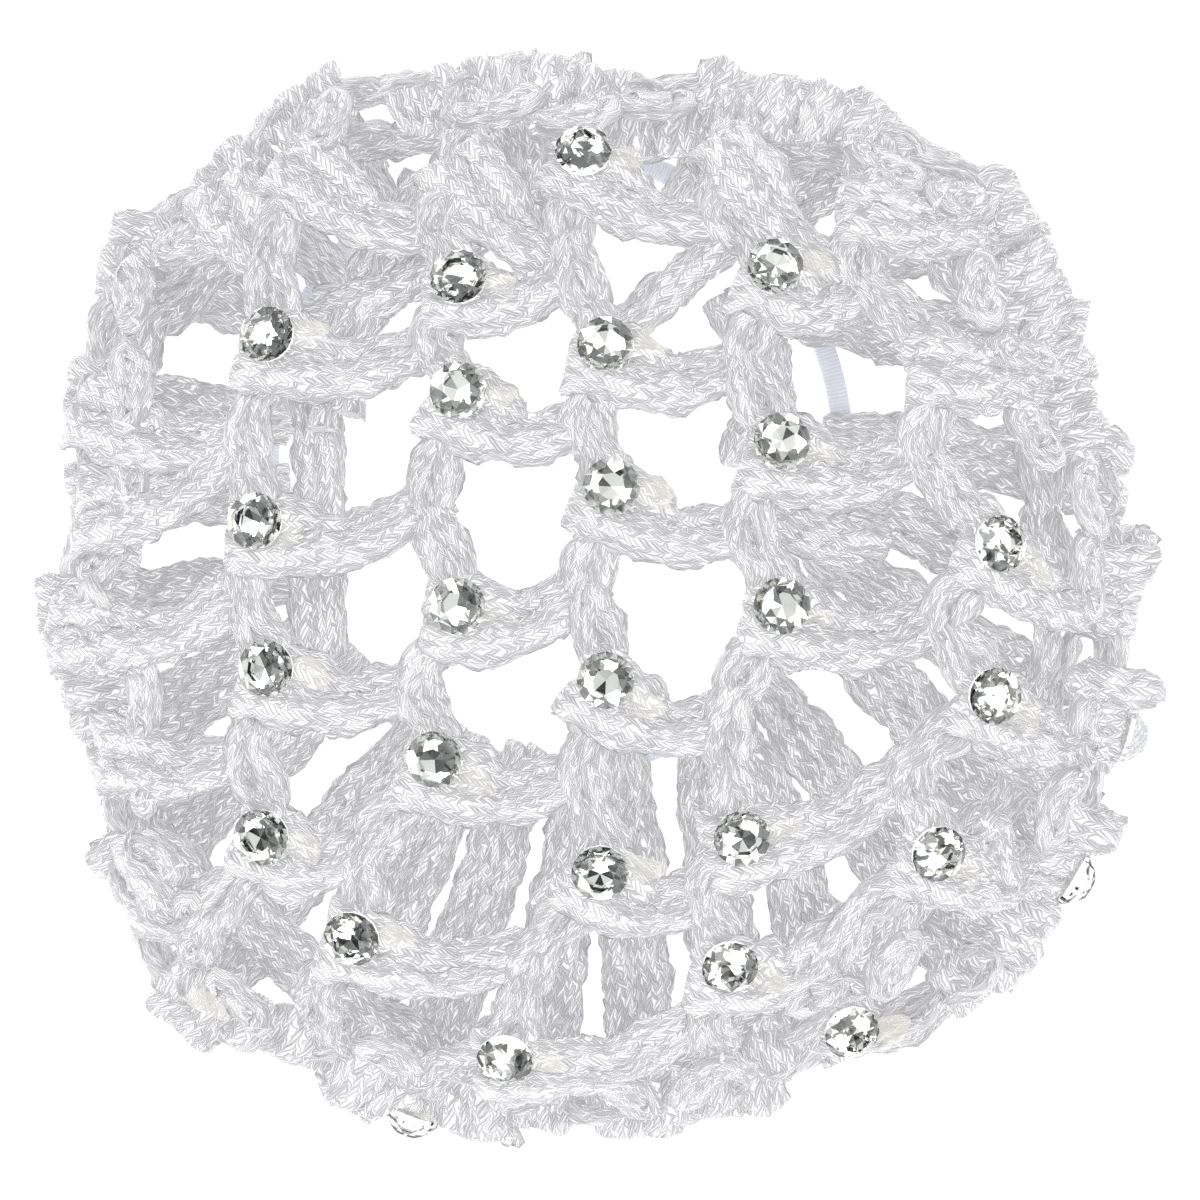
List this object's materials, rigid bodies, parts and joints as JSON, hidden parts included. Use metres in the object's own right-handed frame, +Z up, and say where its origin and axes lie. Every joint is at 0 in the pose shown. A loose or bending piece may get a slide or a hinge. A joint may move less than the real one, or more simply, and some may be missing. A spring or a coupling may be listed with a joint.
{
  "type": "crochet hair snood",
  "caption": "Round crocheted net bun cover of satin knit tape, gathered on an elastic cord ring, with clear flat-backed cut stones glued to its stitches.",
  "frame": {"origin": "middle of the snood's outline, at the surface that it lies on", "axes": "+Z up through the crown, away from the gathered side; +Y to the edge that the elastic lies nearest; +X to the right seen from above"},
  "size_m": [0.0924, 0.0902, 0.0286],
  "materials": {
    "knit_tape": "white satin knit tape",
    "covered_elastic": "white ribbed elastic",
    "cut_stone": "clear, foil-backed"
  },
  "bodies": {
    "root": {"crown_net": "knit_tape", "elastic_cord": "covered_elastic", "stone_01": "cut_stone", "stone_02": "cut_stone", "stone_03": "cut_stone", "stone_04": "cut_stone", "stone_05": "cut_stone", "stone_06": "cut_stone", "stone_07": "cut_stone", "stone_08": "cut_stone", "stone_09": "cut_stone", "stone_10": "cut_stone", "stone_11": "cut_stone", "stone_12": "cut_stone", "stone_13": "cut_stone", "stone_14": "cut_stone", "stone_15": "cut_stone", "stone_16": "cut_stone", "stone_17": "cut_stone", "stone_18": "cut_stone", "stone_19": "cut_stone", "stone_20": "cut_stone", "stone_21": "cut_stone", "stone_22": "cut_stone", "stone_23": "cut_stone", "stone_24": "cut_stone", "stone_25": "cut_stone", "stone_26": "cut_stone", "stone_27": "cut_stone"}
  },
  "joints": []
}
